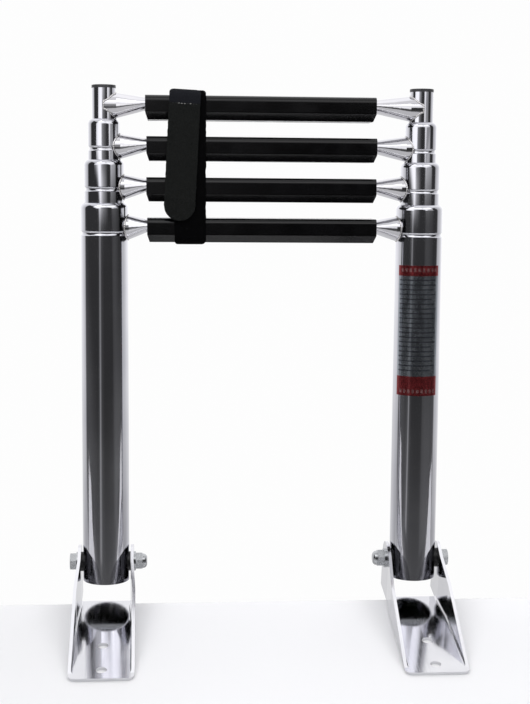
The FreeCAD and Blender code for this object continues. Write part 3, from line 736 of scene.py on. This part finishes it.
# Panels are upright soft lights that stand on their own path and slope up at the lower edge.
PANEL_TOP = 1.2
PANEL_STEP, PANEL_ROWS = 0.005, 160
OVERHEAD, OVERHEAD_GLOW = (0.60, 0.68), 1.2   # the heights over which every panel turns to this glow
DIP, DIP_HEIGHTS, DIP_SOFT = 0.6, (0.465, 0.550), 0.015
DIP_BELOW = 1.2               # the dip is only where the panel's glow is below this
TUBES_Y = 0.12                # the tubes' place, from which a panel's lower edge slopes up
PANELS = (
    # name, the path as rows of x, y, glow and the dim glow below, then height and slope of the line where the
    # glow starts and of the line where it is full
    ("left_panel", (
        (-0.235, 0.09, 1.00, 0.0), (-0.250, 0.03, 1.50, 0.0), (-0.300, -0.15, 1.60, 0.0),
        (-0.325, -0.30, 1.60, 0.06), (-0.335, -0.36, 1.55, 0.36), (-0.290, -0.37, 1.35, 0.17),
        (-0.250, -0.37, 1.00, 0.03), (-0.200, -0.37, 0.66, 0.02), (-0.130, -0.37, 0.42, 0.0),
        (-0.060, -0.37, 0.28, 0.0), (0.015, -0.37, 0.12, 0.0), (0.090, -0.37, 0.0, 0.0),
        (0.300, -0.40, 0.0, 0.0),
    ), (0.362, 0.068), (0.400, 0.080)),
    ("right_panel", (
        (0.660, -0.07, 0.0, 0.0), (0.600, -0.13, 0.70, 0.02), (0.450, -0.29, 1.10, 0.05),
        (0.360, -0.39, 1.40, 0.04), (0.320, -0.43, 0.30, 0.0), (0.300, -0.45, 0.0, 0.0),
    ), (0.315, 0.18), (0.410, 0.27)),
)
KEY_LIGHTS = (  # name, azimuth and elevation from the object, distance, size, radiance
    ("left_key", -41.0, 47.0, 1.30, 1.10, 0.80),
    ("right_key", 47.0, 47.0, 1.30, 1.10, 0.60),
)


def direction(azimuth, elevation):
    """From the object towards a place in the studio."""
    a, e = math.radians(azimuth), math.radians(elevation)
    return Vector((math.sin(a) * math.cos(e), -math.cos(a) * math.cos(e), math.sin(e)))


def glow(azimuth, elevation):
    """The studio's brightness in a direction."""
    front = window(azimuth, *FRONT, FRONT_SOFT)
    side = smoothly(*LOW_DROP_EDGE, abs(azimuth))
    below = 1 - smoothly(*LOW_EDGE, elevation + LOW_DROP * side)
    above = smoothly(*HIGH_EDGE, elevation)
    seam = SEAM_DIM * window(azimuth, *SEAM, SEAM_SOFT) * (1 - smoothly(*SEAM_END, elevation))
    room = ROOM_GLOW + ROOM_FLOOR_GLOW * (1 - smoothly(*ROOM_FLOOR, elevation))
    level = room + (LOW_GLOW - room) * below + (HIGH_GLOW - room) * above * (1 - seam)
    behind = BEHIND_GLOW + BEHIND_MORE * smoothly(*BEHIND_EDGE, abs(azimuth))
    behind *= 1 - BEHIND_LOW_DIM * (1 - smoothly(*BEHIND_LOW, elevation))
    return level * front + (behind + BEHIND_HIGH_MORE * above) * (1 - front)


def shining(name, points, faces, levels, clear=False):
    """A stage piece, unseen by the camera, that glows by each vertex's level; a clear one hides nothing."""
    mesh = bpy.data.meshes.new(name)
    mesh.from_pydata([tuple(p) for p in points], [], faces)
    mesh.attributes.new("glow", "FLOAT", "POINT").data.foreach_set("value", levels)
    made = bpy.data.materials.new(name)
    made.use_nodes = True
    tree = made.node_tree
    tree.nodes.clear()
    level = add(tree, "Attribute", attribute_name="glow").outputs["Fac"]
    light = add(tree, "Emission", {"Color": LAMP_COLOUR, "Strength": level})
    shown = add(tree, "OutputMaterial")
    surface = light.outputs["Emission"]
    if clear:
        seen = add(tree, "BsdfTransparent").outputs["BSDF"]
        surface = add(tree, "AddShader", {0: surface, 1: seen}).outputs["Shader"]
    tree.links.new(surface, shown.inputs["Surface"])
    made.cycles.emission_sampling = "NONE"
    mesh.materials.append(made)
    lamp = bpy.data.objects.new(name, mesh)
    bpy.context.scene.collection.objects.link(lamp)
    lamp.visible_camera = False
    lamp.visible_shadow = not clear
    lamp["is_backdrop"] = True


def studio(centre):
    """A dome round everything."""
    columns, rows = 360 // DOME_STEP, 180 // DOME_STEP
    points, levels = [], []
    for row in range(rows + 1):
        for column in range(columns):
            azimuth, elevation = column * DOME_STEP - 180, row * DOME_STEP - 90
            points.append(centre + direction(azimuth, elevation) * STUDIO_RADIUS)
            levels.append(glow(azimuth, elevation))
    faces = [
        (row * columns + k, row * columns + (k + 1) % columns, (row + 1) * columns + (k + 1) % columns,
         (row + 1) * columns + k)
        for row in range(rows) for k in range(columns)
    ]
    shining("studio_dome", points, faces, levels)


def panel(name, path, start, full):
    """An upright light beside or in front of the ladder, from its start line to its full line and up."""
    columns = [path[0]]
    for first, last in zip(path, path[1:]):
        count = math.ceil(math.dist(first[:2], last[:2]) / PANEL_STEP)
        columns += [
            tuple(a + (b - a) * k / count for a, b in zip(first, last)) for k in range(1, count + 1)
        ]
    points, levels = [], []
    for row in range(PANEL_ROWS + 1):
        height = PANEL_TOP * row / PANEL_ROWS
        for x, y, bright, dim in columns:
            away = TUBES_Y - y
            risen = smoothly(start[0] + start[1] * away, full[0] + full[1] * away, height)
            points.append((x, y, height))
            if bright < DIP_BELOW:
                bright *= 1 - DIP * window(height, *DIP_HEIGHTS, DIP_SOFT)
            bright += (OVERHEAD_GLOW - bright) * smoothly(*OVERHEAD, height)
            levels.append(bright * risen + dim * (1 - risen))
    width = len(columns)
    faces = [
        (row * width + k, row * width + k + 1, (row + 1) * width + k + 1, (row + 1) * width + k)
        for row in range(PANEL_ROWS) for k in range(width - 1)
    ]
    shining(name, points, faces, levels, clear=True)


def key_light(centre, name, azimuth, elevation, distance, across, radiance):
    """A broad light that does not show in reflections."""
    data = bpy.data.lights.new(name, "AREA")
    data.size = across
    data.energy = radiance * math.pi * across * across
    light = bpy.data.objects.new(name, data)
    bpy.context.scene.collection.objects.link(light)
    away = direction(azimuth, elevation)
    light.matrix_world = (
        Matrix.Translation(centre + away * distance) @ away.to_track_quat("Z", "Y").to_matrix().to_4x4()
    )
    light.visible_camera = False
    light.visible_glossy = False


def slab(name, front, back, side, top):
    """A part of the pale platform."""
    corners = [(-side, front), (side, front), (side, back), (-side, back)]
    points = [(x, y, z) for z in (top - FLOOR_DEPTH, top) for x, y in corners]
    faces = [(4, 5, 6, 7), (3, 2, 1, 0), (0, 1, 5, 4), (1, 2, 6, 5), (2, 3, 7, 6), (3, 0, 4, 7)]
    mesh = bpy.data.meshes.new(name)
    mesh.from_pydata(points, [], faces)
    made, tree, shader = material(name, Roughness=0.7, Specular_IOR_Level=0.2)
    tree.links.new(blended(tree, grain(tree, FLOOR_SCALE), *FLOOR_COLOURS), shader.inputs["Base Color"])
    mesh.materials.append(made)
    block = bpy.data.objects.new(name, mesh)
    bpy.context.scene.collection.objects.link(block)
    block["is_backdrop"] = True
    return block


def platform():
    """It ends under the brackets' ears; its front part is not reflected in the ladder."""
    low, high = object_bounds()
    back, middle = PIVOT.y - EDGE_GAP, low.y - FLOOR_NEAR
    side = max(abs(low.x), high.x) + FLOOR_SIDE
    slab("platform", middle, back, side, low.z)
    slab("platform_front", low.y - FLOOR_FAR, middle, side, low.z).visible_glossy = False


def backdrop():
    """Plain white behind everything."""
    world = bpy.data.worlds.new("world")
    world.use_nodes = True
    world.node_tree.nodes["Background"].inputs["Color"].default_value = BACKDROP_COLOUR
    world.node_tree.nodes["Background"].inputs["Strength"].default_value = 1.0
    bpy.context.scene.world = world


stage_centre = (cad_low + cad_high) / 2
backdrop()
platform()
studio(stage_centre)
for row in PANELS:
    panel(*row)
for row in KEY_LIGHTS:
    key_light(stage_centre, *row)
